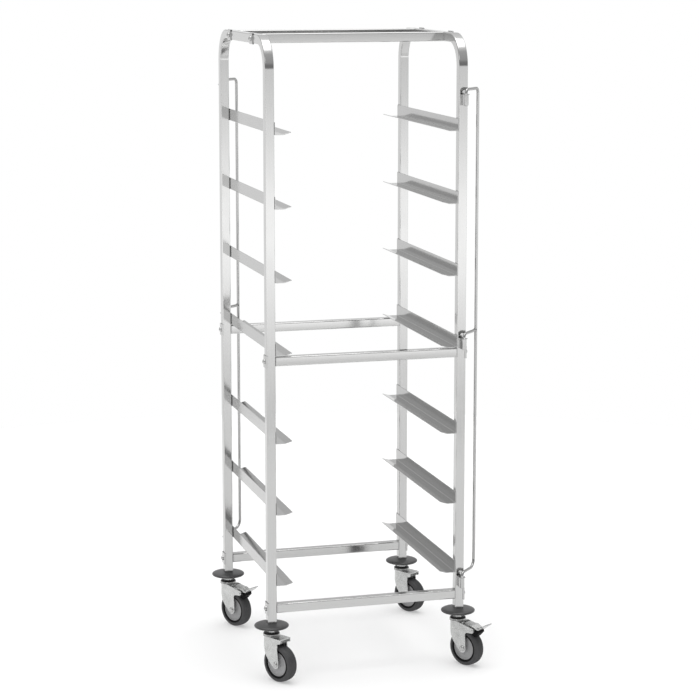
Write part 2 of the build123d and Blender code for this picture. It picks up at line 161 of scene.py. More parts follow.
# ---- Sizes and finishes a user may change --------------------------------------

def length(name, description, default):
    """A size in millimetres shown as a length."""
    return FloatProperty(name=name, description=description, default=default * MM, min=0.0,
                         precision=5, subtype="DISTANCE", unit="LENGTH")


def colour(name, description, default):
    """A linear colour."""
    return FloatVectorProperty(name=name, description=description, default=default, size=3,
                               min=0.0, max=1.0, subtype="COLOR")


def factor(name, description, default):
    """A plain number from 0 to 1."""
    return FloatProperty(name=name, description=description, default=default, min=0.0, max=1.0,
                         subtype="FACTOR")


class TrolleySizes(bpy.types.PropertyGroup):
    """Sizes of the details that the frame leaves open."""
    tube_corner: length("Tube corner", "Outside corner radius of the square tube", 3.0)
    bend_radius: length("Frame bend", "Centre-line radius of the side frames' top bends", 75.0)
    bend_steps: IntProperty(name="Bend steps", description="Rings in a quarter bend", default=20, min=4)
    round_steps: IntProperty(name="Round steps", description="Sides of a turned piece", default=64, min=16)
    sheet: length("Runner sheet", "Thickness of the runners", 1.5)
    sheet_bend: length("Runner bend", "Outside radius of the runners' folds", 2.6)
    ledge: length("Runner ledge", "Flat part of a runner", 25.0)
    lip_rise: length("Runner lip", "Rise of a runner's lip from its fold to its edge", 6.0)
    lip_corner: length("Lip corner", "Radius of the corners of a runner's lip", 3.0)
    edge_break: length("Edge break", "Rounding of cut sheet edges", 0.3)
    bead_length: length("Weld length", "Length of a weld bead on a runner", 19.0)
    bead_radius: length("Weld radius", "Radius of a weld bead", 1.5)
    rod: length("Rod diameter", "Diameter of the locking bars", 8.0)
    bolt_head: length("Bolt head", "Diameter of the crossbar bolts' heads", 14.0)
    bolt_socket: length("Bolt socket", "Across the flats of the socket in a bolt head", 5.0)
    lock_nut: length("Lock nut", "Across the flats of a castor's lock nut", 24.0)
    tread_grooves: IntProperty(name="Tread grooves", description="Fine grooves round a tyre", default=9,
                               min=0)
    shoe_heel: FloatProperty(name="Shoe heel", description="Angle above the axle where a brake shoe ends",
                             default=math.radians(45), min=math.radians(36), max=math.radians(54),
                             subtype="ANGLE")


class TrolleyFinishes(bpy.types.PropertyGroup):
    """Colours and gloss of the finishes."""
    stainless: colour("Stainless", "Stainless steel of tube and sheet", (0.52, 0.52, 0.517))
    stainless_gloss: factor("Stainless roughness", "Roughness of the stainless steel", 0.10)
    rod: colour("Rod", "Drawn rod of the locking bars", (0.40, 0.40, 0.398))
    zinc: colour("Zinc plate", "Zinc plated pressings", (0.56, 0.565, 0.56))
    bumper: colour("Bumper", "Moulded rubber of the bumper discs", (0.05, 0.05, 0.051))
    tyre: colour("Tyre", "Rubber of the tyres", (0.055, 0.055, 0.057))
    hub: colour("Hub", "Moulded plastic of the wheel centres", (0.36, 0.36, 0.365))
    black: colour("Black", "Black covers, beads and shoes", (0.008, 0.008, 0.0085))
    floor: colour("Floor", "Studio floor", (0.93, 0.93, 0.93))


# ---- Making meshes --------------------------------------------------------------

def place_of(node):
    """Lowest corner, highest corner and centre of a CAD node."""
    low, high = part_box(node)
    return low, high, (low + high) / 2


def put(bm, name, body, slot, nodes=(), sharp=35.0):
    """Make an object of a bmesh, riding on a body and standing for CAD nodes."""
    mesh = bpy.data.meshes.new(name)
    bm.to_mesh(mesh)
    bm.free()
    mesh.shade_smooth()
    if sharp:
        mesh.set_sharp_from_angle(angle=math.radians(sharp))
    piece = bpy.data.objects.new(name, mesh)
    bpy.context.scene.collection.objects.link(piece)
    mesh.materials.append(finish(slot))
    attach(piece, body)
    if nodes:
        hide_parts(*nodes)
    return piece


def crisp(piece):
    """Keep flat faces flat beside their rounded edges."""
    normals = piece.modifiers.new("flats", "WEIGHTED_NORMAL")
    normals.weight = 80
    normals.keep_sharp = True
    return piece


def soften(piece, width, segments=2, angle=40.0):
    """Round the sharp edges of a piece."""
    bevel = piece.modifiers.new("edges", "BEVEL")
    bevel.width = width
    bevel.segments = segments
    bevel.limit_method = "ANGLE"
    bevel.angle_limit = math.radians(angle)
    bevel.use_clamp_overlap = True
    return crisp(piece)


def joined(*meshes):
    """One bmesh of several."""
    whole = meshes[0]
    for other in meshes[1:]:
        mesh = bpy.data.meshes.new("part")
        other.to_mesh(mesh)
        other.free()
        whole.from_mesh(mesh)
        bpy.data.meshes.remove(mesh)
    return whole


def moved(bm, matrix):
    """A bmesh moved by a matrix."""
    bmesh.ops.transform(bm, matrix=matrix, verts=bm.verts)
    return bm


def tidy(bm):
    """Merge, close and turn outwards."""
    bmesh.ops.remove_doubles(bm, verts=bm.verts, dist=1e-6)
    bmesh.ops.recalc_face_normals(bm, faces=bm.faces)
    return bm


def grain_layer(bm):
    """The attribute that keeps a bar's own unbent coordinates."""
    return bm.verts.layers.float_vector.get("grain") or bm.verts.layers.float_vector.new("grain")


def square_ring(size, corner):
    """The rounded square outline of the tube, as a ring of edges at the origin."""
    bm = bmesh.new()
    bmesh.ops.create_grid(bm, x_segments=1, y_segments=1, size=size / 2)
    bmesh.ops.bevel(bm, geom=bm.verts[:], offset=corner, segments=4, profile=0.5,
                    affect="VERTICES", material=-1)
    bmesh.ops.delete(bm, geom=bm.faces[:], context="FACES_ONLY")
    return bm


def round_ring(diameter, steps=20):
    """The outline of a rod, as a ring of edges at the origin."""
    bm = bmesh.new()
    bmesh.ops.create_circle(bm, segments=steps, radius=diameter / 2)
    return bm


def carried(bm, start, heading, legs, steps):
    """Carry a ring along a bar: legs of (length, direction of a quarter bend or None, its radius)."""
    grain = grain_layer(bm)
    for vert in bm.verts:
        vert[grain] = vert.co
    at = Vector(start)
    ahead = Vector(heading).normalized()
    turn = UP.rotation_difference(ahead).to_matrix().to_4x4()
    moved(bm, Matrix.Translation(at) @ turn)
    edges = bm.edges[:]

    def further(step):
        """Extrude the ring once, and count the length in its grain."""
        made = bmesh.ops.extrude_edge_only(bm, edges=edges)["geom"]
        verts = [item for item in made if isinstance(item, bmesh.types.BMVert)]
        for vert in verts:
            vert[grain] = vert[grain] + Vector((0, 0, step))
        return verts, [item for item in made if isinstance(item, bmesh.types.BMEdge)]

    for straight, towards, radius in legs:
        if straight > 0:
            verts, edges = further(straight)
            edges = [edge for edge in edges if edge.verts[0] in verts and edge.verts[1] in verts]
            bmesh.ops.translate(bm, vec=ahead * straight, verts=verts)
            at += ahead * straight
        if towards is None:
            continue
        towards = Vector(towards)
        centre = at + towards * radius
        axis = ahead.cross(towards)
        step = math.pi / 2 / steps
        for _ in range(steps):
            verts, edges = further(radius * step)
            bmesh.ops.rotate(bm, cent=centre, matrix=Matrix.Rotation(step, 3, axis), verts=verts)
        at = centre + ahead * radius
        ahead = towards
    bmesh.ops.holes_fill(bm, edges=[edge for edge in bm.edges if edge.is_boundary], sides=0)
    return tidy(bm)


def turned(profile, steps, closed=False):
    """Turn (radius, height) points about Z."""
    bm = bmesh.new()
    verts = [bm.verts.new((radius, 0, height)) for radius, height in profile]
    pairs = list(zip(verts, verts[1:]))
    if closed:
        pairs.append((verts[-1], verts[0]))
    edges = [bm.edges.new(pair) for pair in pairs]
    bmesh.ops.spin(bm, geom=verts + edges, cent=(0, 0, 0), axis=UP, dvec=(0, 0, 0),
                   angle=2 * math.pi, steps=steps, use_merge=True, use_duplicate=False)
    return tidy(bm)


def mm_points(*points):
    """Points in millimetres, as metres."""
    return [(a * MM, b * MM) for a, b in points]


def hexagonal(bm, across_flats):
    """Cut six flats on a turned blank."""
    for side in range(6):
        turn = math.radians(60 * side)
        out = Vector((math.cos(turn), math.sin(turn), 0))
        cut = bmesh.ops.bisect_plane(bm, geom=bm.verts[:] + bm.edges[:] + bm.faces[:], dist=1e-7,
                                     plane_co=out * across_flats / 2, plane_no=out, clear_outer=True)
        edges = [item for item in cut["geom_cut"] if isinstance(item, bmesh.types.BMEdge)]
        bmesh.ops.contextual_create(bm, geom=edges)
    return tidy(bm)


def hex_nut(across_flats, low, high, bore):
    """A chamfered hexagon nut on Z."""
    outer = across_flats / math.sqrt(3)
    chamfer = (outer - across_flats / 2) * 0.9
    rise = chamfer * 0.55
    blank = turned([
        (bore, low), (outer - chamfer, low), (outer, low + rise),
        (outer, high - rise), (outer - chamfer, high), (bore, high),
    ], 72, closed=True)
    return hexagonal(blank, across_flats)


def cad_copy(node, flat=0.5):
    """A merged copy of a CAD node's mesh, its flat faces made whole."""
    bm = bmesh.new()
    bm.from_mesh(frame["nodes"][node].data)
    bmesh.ops.remove_doubles(bm, verts=bm.verts, dist=2e-6)
    bmesh.ops.dissolve_limit(bm, angle_limit=math.radians(flat), use_dissolve_boundaries=False,
                             verts=bm.verts, edges=bm.edges, delimit=set())
    return bm


def bead(long, radius, steps=14):
    """A rippled weld bead on Z, its middle at the origin."""
    bm = round_ring(2 * radius, 10)
    moved(bm, Matrix.Translation((0, 0, -long / 2)))
    edges = bm.edges[:]
    bmesh.ops.scale(bm, vec=(0.35, 0.35, 1), verts=bm.verts)
    for ring in range(1, steps + 1):
        made = bmesh.ops.extrude_edge_only(bm, edges=edges)["geom"]
        verts = [item for item in made if isinstance(item, bmesh.types.BMVert)]
        edges = [item for item in made if isinstance(item, bmesh.types.BMEdge)
                 and item.verts[0] in verts and item.verts[1] in verts]
        place = ring / steps
        size = (0.35 + 0.65 * math.sin(math.pi * place) ** 0.5) * (1.0 + 0.14 * (-1) ** ring)
        centre = -long / 2 + long * place
        bmesh.ops.translate(bm, vec=(0, 0, long / steps), verts=verts)
        for vert in verts:
            across = Vector((vert.co.x, vert.co.y, 0)).normalized() * radius * size
            vert.co = Vector((across.x, across.y, centre))
    bmesh.ops.holes_fill(bm, edges=[edge for edge in bm.edges if edge.is_boundary], sides=0)
    return tidy(bm)


# ---- Finishes -------------------------------------------------------------------

def noise(tree, vector, scale, detail=3.0, roughness=0.5):
    """A noise texture fed by a vector."""
    node = tree.nodes.new("ShaderNodeTexNoise")
    node.inputs["Scale"].default_value = scale
    node.inputs["Detail"].default_value = detail
    node.inputs["Roughness"].default_value = roughness
    tree.links.new(vector, node.inputs["Vector"])
    return node.outputs["Fac"]


def ranged(tree, value, low, high, start=0.3, end=0.7):
    """Spread a value between two limits."""
    node = tree.nodes.new("ShaderNodeMapRange")
    node.inputs["From Min"].default_value = start
    node.inputs["From Max"].default_value = end
    node.inputs["To Min"].default_value = low
    node.inputs["To Max"].default_value = high
    tree.links.new(value, node.inputs["Value"])
    return node.outputs["Result"]


def stretched(tree, scale, attribute=None):
    """Coordinates with a different scale along each axis."""
    mapping = tree.nodes.new("ShaderNodeMapping")
    mapping.inputs["Scale"].default_value = scale
    if attribute:
        source = tree.nodes.new("ShaderNodeAttribute")
        source.attribute_name = attribute
        tree.links.new(source.outputs["Vector"], mapping.inputs["Vector"])
    else:
        source = tree.nodes.new("ShaderNodeTexCoord")
        tree.links.new(source.outputs["Object"], mapping.inputs["Vector"])
    return mapping.outputs["Vector"]


def two_tone(tree, value, dark, light, start=0.3, end=0.7):
    """Blend two colours by a value."""
    ramp = tree.nodes.new("ShaderNodeValToRGB")
    ramp.color_ramp.elements[0].position = start
    ramp.color_ramp.elements[0].color = (*dark, 1)
    ramp.color_ramp.elements[1].position = end
    ramp.color_ramp.elements[1].color = (*light, 1)
    tree.links.new(value, ramp.inputs["Fac"])
    return ramp.outputs["Color"]


def shade(tone, amount):
    """A colour made lighter or darker."""
    return tuple(min(1.0, channel * amount) for channel in tone)


def blank_material(name):
    """A material with its shader and bump nodes."""
    material = bpy.data.materials.new(f"{name}_finish")
    material.use_nodes = True
    tree = material.node_tree
    shader = tree.nodes["Principled BSDF"]
    bump = tree.nodes.new("ShaderNodeBump")
    tree.links.new(bump.outputs["Normal"], shader.inputs["Normal"])
    return material, tree, shader, bump


def brushed_metal(name, tone, rough, scale, attribute=None, depth=0.04, spread=0.06):
    """Metal with a fine grain along one axis and faint cloudy patches."""
    material, tree, shader, bump = blank_material(name)
    lines = noise(tree, stretched(tree, scale, attribute), 1.0, 5.0, 0.65)
    clouds = noise(tree, stretched(tree, (9, 9, 9), None), 1.0, 4.0)
    tree.links.new(two_tone(tree, lines, shade(tone, 1 - spread), shade(tone, 1 + spread)),
                   shader.inputs["Base Color"])
    total = tree.nodes.new("ShaderNodeMath")
    total.operation = "ADD"
    tree.links.new(ranged(tree, lines, rough * 0.8, rough * 1.15), total.inputs[0])
    tree.links.new(ranged(tree, clouds, 0.0, rough * 0.35), total.inputs[1])
    tree.links.new(total.outputs["Value"], shader.inputs["Roughness"])
    shader.inputs["Metallic"].default_value = 1.0
    bump.inputs["Strength"].default_value = depth
    bump.inputs["Distance"].default_value = 0.02 * MM
    tree.links.new(lines, bump.inputs["Height"])
    return material


def moulded(name, tone, rough, grain, depth, spread=0.12, distance=0.05, shine=0.5):
    """Rubber or plastic with a fine moulded texture and worn, dusty patches."""
    material, tree, shader, bump = blank_material(name)
    fine = noise(tree, stretched(tree, (grain, grain, grain)), 1.0, 3.0)
    broad = noise(tree, stretched(tree, (45, 45, 45)), 1.0, 4.0)
    tree.links.new(two_tone(tree, broad, shade(tone, 1 - spread), shade(tone, 1 + spread)),
                   shader.inputs["Base Color"])
    tree.links.new(ranged(tree, fine, rough - 0.05, rough + 0.05), shader.inputs["Roughness"])
    shader.inputs["Specular IOR Level"].default_value = shine
    bump.inputs["Strength"].default_value = depth
    bump.inputs["Distance"].default_value = distance * MM
    tree.links.new(fine, bump.inputs["Height"])
    return material


def spangled(name, tone, rough):
    """Zinc plate: a soft sheen with small bright crystals."""
    material, tree, shader, bump = blank_material(name)
    crystals = tree.nodes.new("ShaderNodeTexVoronoi")
    crystals.inputs["Scale"].default_value = 1.0
    tree.links.new(stretched(tree, (420, 420, 420)), crystals.inputs["Vector"])
    split = tree.nodes.new("ShaderNodeSeparateColor")
    tree.links.new(crystals.outputs["Color"], split.inputs["Color"])
    flake = split.outputs["Red"]
    clouds = noise(tree, stretched(tree, (60, 60, 60)), 1.0, 4.0)
    tree.links.new(two_tone(tree, clouds, shade(tone, 0.9), shade(tone, 1.08)), shader.inputs["Base Color"])
    tree.links.new(ranged(tree, flake, rough * 0.85, rough * 1.2, 0.0, 1.0), shader.inputs["Roughness"])
    shader.inputs["Metallic"].default_value = 1.0
    bump.inputs["Strength"].default_value = 0.05
    bump.inputs["Distance"].default_value = 0.03 * MM
    tree.links.new(clouds, bump.inputs["Height"])
    return material


def make_finish(slot, look):
    """The material for one slot."""
    steel = look.stainless[:]
    gloss = look.stainless_gloss
    makers = {
        "stainless_tube": lambda: brushed_metal(slot, steel, gloss, (2200, 2200, 18), "grain"),
        "stainless_sheet": lambda: brushed_metal(slot, shade(steel, 0.86), gloss * 1.15, (1800, 14, 1800)),
        "stainless_plate": lambda: brushed_metal(slot, shade(steel, 0.9), gloss * 1.3, (900, 900, 60)),
        "bright_rod": lambda: brushed_metal(slot, look.rod[:], 0.14, (1500, 1500, 25), "grain"),
        "bolt_steel": lambda: brushed_metal(slot, shade(steel, 0.95), 0.2, (700, 700, 700), spread=0.1),
        "zinc_plate": lambda: spangled(slot, look.zinc[:], 0.27),
        "bumper_rubber": lambda: moulded(slot, look.bumper[:], 0.36, 1400, 0.08),
        "black_cover": lambda: moulded(slot, look.black[:], 0.4, 1500, 0.1),
        "hub_plastic": lambda: moulded(slot, look.hub[:], 0.42, 1600, 0.06, spread=0.05),
        "tyre_rubber": lambda: moulded(slot, look.tyre[:], 0.55, 1200, 0.15, shine=0.4),
        "black_rubber": lambda: moulded(slot, look.black[:], 0.6, 1300, 0.2, shine=0.08),
    }
    return makers[slot]()


def finish(slot):
    """The material of a slot, made once."""
    if slot not in FINISHES:
        FINISHES[slot] = make_finish(slot, bpy.context.scene.trolley_finishes)
    return FINISHES[slot]


# ---- The frame ------------------------------------------------------------------

def tube_size():
    """Outside size of the square tube."""
    low, high, _ = place_of("middle_crossbar_front")
    return high.z - low.z


class TROLLEY_OT_side_frames(bpy.types.Operator):
    """Bend the two side frames from square tube"""
    bl_idname = "trolley.side_frames"
    bl_label = "Side frames"

    def execute(self, context):
        sizes = context.scene.trolley_sizes
        half = tube_size() / 2
        radius = sizes.bend_radius
        for side in ("left", "right"):
            node = f"side_frame_{side}"
            low, high, middle = place_of(node)
            rise = high.z - half - radius - low.z
            reach = high.y - low.y - 2 * half - 2 * radius
            bm = carried(square_ring(2 * half, sizes.tube_corner), (middle.x, low.y + half, low.z), UP,
                         [(rise, Y_AXIS, radius), (reach, -UP, radius), (rise, None, 0)], sizes.bend_steps)
            crisp(put(bm, f"{node}_tube", "frame", "stainless_tube", [node]))
        return {"FINISHED"}


class TROLLEY_OT_crossbars(bpy.types.Operator):
    """Cut the six crossbars and weld a plate into each end"""
    bl_idname = "trolley.crossbars"
    bl_label = "Crossbars"

    def execute(self, context):
        sizes = context.scene.trolley_sizes
        for row in ROWS:
            for end in ("front", "rear"):
                node = f"{row}_crossbar_{end}"
                low, high, middle = place_of(node)
                bm = carried(square_ring(high.z - low.z, sizes.tube_corner), (low.x, middle.y, middle.z),
                             X_AXIS, [(high.x - low.x, None, 0)], 1)
                crisp(put(bm, f"{node}_tube", "frame", "stainless_tube", [node]))
        plates = put(cad_copy("bar_end_plates"), "bar_end_plates_welded", "frame", "stainless_plate",
                     ["bar_end_plates"], sharp=0)
        soften(plates, END_PLATE_EDGE)
        return {"FINISHED"}


def bar_ends():
    """The place and outward direction of each end of each crossbar, at the saddle's outer face."""
    low, high, _ = place_of("bar_saddles")
    for row in ROWS:
        for end in ("front", "rear"):
            middle = place_of(f"{row}_crossbar_{end}")[2]
            yield Vector((high.x, middle.y, middle.z)), X_AXIS
            yield Vector((low.x, middle.y, middle.z)), -X_AXIS


def socket_bolt(head, height, across_flats, shank, long):
    """A domed bolt on Z with a hexagon socket; its seat is at height 0."""
    radius = head / 2
    bm = turned([
        (shank, -long), (shank, 0), (radius, 0), (radius, height * 0.24), (radius * 0.93, height * 0.55),
        (radius * 0.74, height * 0.83), (radius * 0.5, height * 0.97), (radius * 0.44, height),
    ], 48)
    rim = [edge for edge in bm.edges if edge.is_boundary and min(v.co.z for v in edge.verts) > height * 0.9]
    made = bmesh.ops.extrude_edge_only(bm, edges=rim)["geom"]
    verts = [item for item in made if isinstance(item, bmesh.types.BMVert)]
    for vert in verts:
        turn = math.atan2(vert.co.y, vert.co.x)
        off = (turn % (math.pi / 3)) - math.pi / 6
        reach = across_flats / 2 / math.cos(off)
        vert.co = Vector((math.cos(turn) * reach, math.sin(turn) * reach, height * 0.92))
    edges = [item for item in made if isinstance(item, bmesh.types.BMEdge) and item.is_boundary]
    made = bmesh.ops.extrude_edge_only(bm, edges=edges)["geom"]
    verts = [item for item in made if isinstance(item, bmesh.types.BMVert)]
    bmesh.ops.translate(bm, vec=(0, 0, -height * 0.55), verts=verts)
    bmesh.ops.holes_fill(bm, edges=[edge for edge in bm.edges if edge.is_boundary], sides=0)
    return tidy(bm)


class TROLLEY_OT_bar_fixings(bpy.types.Operator):
    """Press the saddles and turn the bolts that hold the crossbars"""
    bl_idname = "trolley.bar_fixings"
    bl_label = "Saddles and bolts"

    def execute(self, context):
        sizes = context.scene.trolley_sizes
        saddles = put(cad_copy("bar_saddles"), "bar_saddles_pressed", "frame", "stainless_plate",
                      ["bar_saddles"], sharp=0)
        soften(saddles, PRESSED_EDGE, 3)
        bolt_high = place_of("bar_bolts")[1]
        seat = place_of("bar_saddles")[1].x
        one = socket_bolt(sizes.bolt_head, bolt_high.x - seat, sizes.bolt_socket, BOLT_SHANK, BOLT_LENGTH)
        bolts = []
        for place, out in bar_ends():
            turn = UP.rotation_difference(out).to_matrix().to_4x4()
            bolts.append(moved(one.copy(), Matrix.Translation(place) @ turn))
        one.free()
        put(joined(*bolts), "bar_bolts_domed", "frame", "bolt_steel", ["bar_bolts"])
        return {"FINISHED"}


class TROLLEY_OT_runners(bpy.types.Operator):
    """Fold the fourteen runners from sheet"""
    bl_idname = "trolley.runners"
    bl_label = "Runners"

    def execute(self, context):
        sizes = context.scene.trolley_sizes
        for side, sign in (("left", -1), ("right", 1)):
            for level in LEVELS:
                node = f"runner_{side}_{level}"
                low, high, _ = place_of(node)
                wall = high.x if sign > 0 else low.x
                tip = low.x if sign > 0 else high.x
                bm = bmesh.new()
                places = ((wall, high.z), (wall, low.z), (wall - sign * sizes.ledge, low.z),
                          (tip, low.z + sizes.lip_rise))
                verts = [bm.verts.new((x, low.y, z)) for x, z in places]
                edges = [bm.edges.new(pair) for pair in zip(verts, verts[1:])]
                made = bmesh.ops.extrude_edge_only(bm, edges=edges)["geom"]
                bmesh.ops.translate(bm, vec=(0, high.y - low.y, 0),
                                    verts=[item for item in made if isinstance(item, bmesh.types.BMVert)])
                folds = [edge for edge in bm.edges if len(edge.link_faces) == 2]
                bmesh.ops.bevel(bm, geom=folds, offset=sizes.sheet_bend, segments=4, profile=0.5,
                                affect="EDGES", material=-1)
                corners = [v for v in bm.verts if abs(v.co.x - tip) < 1e-6]
                bmesh.ops.bevel(bm, geom=corners, offset=sizes.lip_corner, segments=4, profile=0.5,
                                affect="VERTICES", material=-1)
                bmesh.ops.recalc_face_normals(bm, faces=bm.faces)
                bm.faces.ensure_lookup_table()
                flat = max(bm.faces, key=lambda face: face.calc_area() * abs(face.normal.x))
                inward = flat.normal.x * sign < 0
                bmesh.ops.solidify(bm, geom=bm.faces[:], thickness=-sizes.sheet if inward else sizes.sheet)
                tidy(bm)
                piece = put(bm, f"{node}_folded", "frame", "stainless_sheet", [node])
                soften(piece, sizes.edge_break)
        return {"FINISHED"}


def bracket_levels(end):
    """The lower and upper faces of the three brackets at one locking bar, from the lowest."""
    heights = sorted({round(v.co.z, 5) for v in frame["nodes"][f"pivot_brackets_{end}"].data.vertices})
    return list(zip(heights[0::2], heights[1::2]))


class TROLLEY_OT_welds(bpy.types.Operator):
    """Lay the weld beads of runners and pivot brackets"""
    bl_idname = "trolley.welds"
    bl_label = "Weld beads"

    def execute(self, context):
        sizes = context.scene.trolley_sizes
        half = tube_size() / 2
        runner_bead = bead(sizes.bead_length, sizes.bead_radius)
        beads = []
        for side, sign in (("left", -1), ("right", 1)):
            frame_low, frame_high, _ = place_of(f"side_frame_{side}")
            for level in LEVELS:
                low, high, _ = place_of(f"runner_{side}_{level}")
                face = high.x if sign > 0 else low.x
                for y in (frame_low.y + half, frame_high.y - half):
                    for z in (high.z, low.z + RUNNER_WELD_RISE):
                        place = Matrix.Translation((face - sign * RUNNER_WELD_SINK, y, z))
                        turn = Matrix.Rotation(math.pi / 2, 4, "X")
                        beads.append(moved(runner_bead.copy(), place @ turn))
        put(joined(*beads), "runner_welds", "frame", "stainless_plate")
        runner_bead.free()
        beads = []
        for end in ("front", "rear"):
            low, high, _ = place_of(f"pivot_brackets_{end}")
            foot = high.y if end == "front" else low.y
            for bottom, top in bracket_levels(end):
                for x in (low.x, high.x):
                    one = bead((top - bottom) * BRACKET_WELD_SHARE, BRACKET_WELD)
                    beads.append(moved(one, Matrix.Translation((x, foot, (bottom + top) / 2))))
        put(joined(*beads), "bracket_welds", "frame", "stainless_plate")
        return {"FINISHED"}


# ---- Locking bars ---------------------------------------------------------------

class TROLLEY_OT_locking_bars(bpy.types.Operator):
    """Bend the two locking bars and weld on their arms and collars"""
    bl_idname = "trolley.locking_bars"
    bl_label = "Locking bars"

    def execute(self, context):
        sizes = context.scene.trolley_sizes
        for end, joint in (("front", "front_bar_swing"), ("rear", "rear_bar_swing")):
            node = f"locking_bar_{end}"
            pivot = Vector(JOINTS[joint]["pos_m"])
            low, high, _ = place_of(node)
            levels = bracket_levels(end)
            corner = Vector((high.x - sizes.rod / 2 - pivot.x, high.y - sizes.rod / 2 - pivot.y, 0))
            out = corner.normalized()
            reach = corner.length
            stub = levels[0][0] - low.z
            arm = high.z - sizes.rod / 2 - levels[2][1]
            base = Vector((pivot.x, pivot.y, 0))
            first = levels[0][1] + arm
            last = levels[2][1] + arm
            start = base + UP * low.z
            loop = carried(
                round_ring(sizes.rod), start, UP,
                [
                    (first - PIN_BEND - low.z, out, PIN_BEND),
                    (reach - PIN_BEND - LOWER_BEND, UP, LOWER_BEND),
                    (last - first - LOWER_BEND - UPPER_BEND, -out, UPPER_BEND),
                    (reach - UPPER_BEND - PIN_BEND, -UP, PIN_BEND),
                    (last - PIN_BEND - (levels[2][0] - stub), None, 0),
                ], 12)
            middle_arm = levels[1][1] + arm
            branch = carried(
                round_ring(sizes.rod), base + out * reach + UP * middle_arm, -out,
                [(reach - PIN_BEND, -UP, PIN_BEND),
                 (middle_arm - PIN_BEND - (levels[1][0] - stub), None, 0)], 12)
            weld = bead(ARM_WELD, sizes.rod / 2 + ARM_WELD_RISE, 6)
            turn = UP.rotation_difference(out).to_matrix().to_4x4()
            moved(weld, Matrix.Translation(base + out * (reach - ARM_WELD_PLACE) + UP * middle_arm) @ turn)
            collars = []
            for _, top in levels:
                collar = turned(mm_points(*COLLAR), 40, closed=True)
                collars.append(moved(collar, Matrix.Translation(base + UP * top)))
            put(joined(loop, branch, weld, *collars), f"{node}_bent", node, "bright_rod", [node])
            brackets = put(cad_copy(f"pivot_brackets_{end}"), f"pivot_brackets_{end}_folded", "frame",
                           "stainless_plate", [f"pivot_brackets_{end}"], sharp=0)
            soften(brackets, BRACKET_EDGE)
        return {"FINISHED"}


# ---- Castors --------------------------------------------------------------------

def swivel(corner):
    """The frame of a castor: on the floor under its post, X along the trail."""
    stem = place_of(f"castor_stem_{corner}")[2]
    wheel = place_of(f"tyre_{corner}")[2]
    heading = math.atan2(wheel.y - stem.y, wheel.x - stem.x)
    return Matrix.Translation((stem.x, stem.y, 0)) @ Matrix.Rotation(heading, 4, "Z")


def on_axle(corner):
    """The frame of a wheel: at its centre, Z along the axle."""
    stem = place_of(f"castor_stem_{corner}")[2]
    wheel = place_of(f"tyre_{corner}")[2]
    heading = math.atan2(wheel.y - stem.y, wheel.x - stem.x)
    return Matrix.Translation(wheel) @ Matrix.Rotation(heading, 4, "Z") @ Matrix.Rotation(math.pi / 2, 4, "X")


class TROLLEY_OT_bumpers(bpy.types.Operator):
    """Mould the four bumper discs"""
    bl_idname = "trolley.bumpers"
    bl_label = "Bumper discs"

    def execute(self, context):
        steps = context.scene.trolley_sizes.round_steps
        for corner in CORNERS:
            node = f"bumper_{corner}"
            low, high, middle = place_of(node)
            radius = (high.x - low.x) / 2
            tall = high.z - low.z
            bm = turned([(radius * across, tall * up) for across, up in BUMPER_OUTLINE], steps)
            moved(bm, Matrix.Translation((middle.x, middle.y, low.z)))
            piece = put(bm, f"{node}_moulded", "frame", "bumper_rubber", [node], sharp=0)
            smooth = piece.modifiers.new("smooth", "SUBSURF")
            smooth.levels = 1
            smooth.render_levels = 1
        return {"FINISHED"}


class TROLLEY_OT_castor_stems(bpy.types.Operator):
    """Turn the stems with their lock nuts, kingpins and dust covers"""
    bl_idname = "trolley.castor_stems"
    bl_label = "Stems and covers"

    def execute(self, context):
        sizes = context.scene.trolley_sizes
        steps = sizes.round_steps
        cover_low, cover_high, _ = place_of("dust_covers")
        covers = []
        for corner in CORNERS:
            node = f"castor_stem_{corner}"
            low, high, middle = place_of(node)
            under = place_of(f"bumper_{corner}")[0].z
            foot = place_of("side_frame_left")[0].z
            nut = hex_nut(sizes.lock_nut, cover_high.z, under, NUT_BORE)
            moved(nut, Matrix.Rotation(NUT_TURN, 4, "Z"))
            neck = turned([(NECK_RADIUS, cover_high.z), (NECK_RADIUS, foot)], 32)
            head = low.z + KINGPIN_HEAD_HEIGHT
            pin = turned([
                (KINGPIN_RADIUS, cover_high.z), (KINGPIN_RADIUS, head), (KINGPIN_HEAD, head),
                (KINGPIN_HEAD, low.z + KINGPIN_CHAMFER), (KINGPIN_HEAD - KINGPIN_CHAMFER, low.z), (0, low.z),
            ], 32)
            plug = carried(square_ring(tube_size() - PLUG_GAP, PLUG_CORNER), (0, 0, foot), UP,
                           [(high.z - foot, None, 0)], 1)
            bm = joined(nut, neck, pin, plug)
            moved(bm, Matrix.Translation((middle.x, middle.y, 0)))
            put(bm, f"{node}_turned", "frame", "zinc_plate", [node])
            base = cover_low.z
            tall = cover_high.z - base
            cover = turned([(radius * MM, base + tall * up) for radius, up in COVER_OUTLINE], steps,
                           closed=True)
            covers.append(moved(cover, Matrix.Translation((middle.x, middle.y, 0))))
        put(joined(*covers), "dust_covers_moulded", "frame", "black_cover", ["dust_covers"])
        return {"FINISHED"}


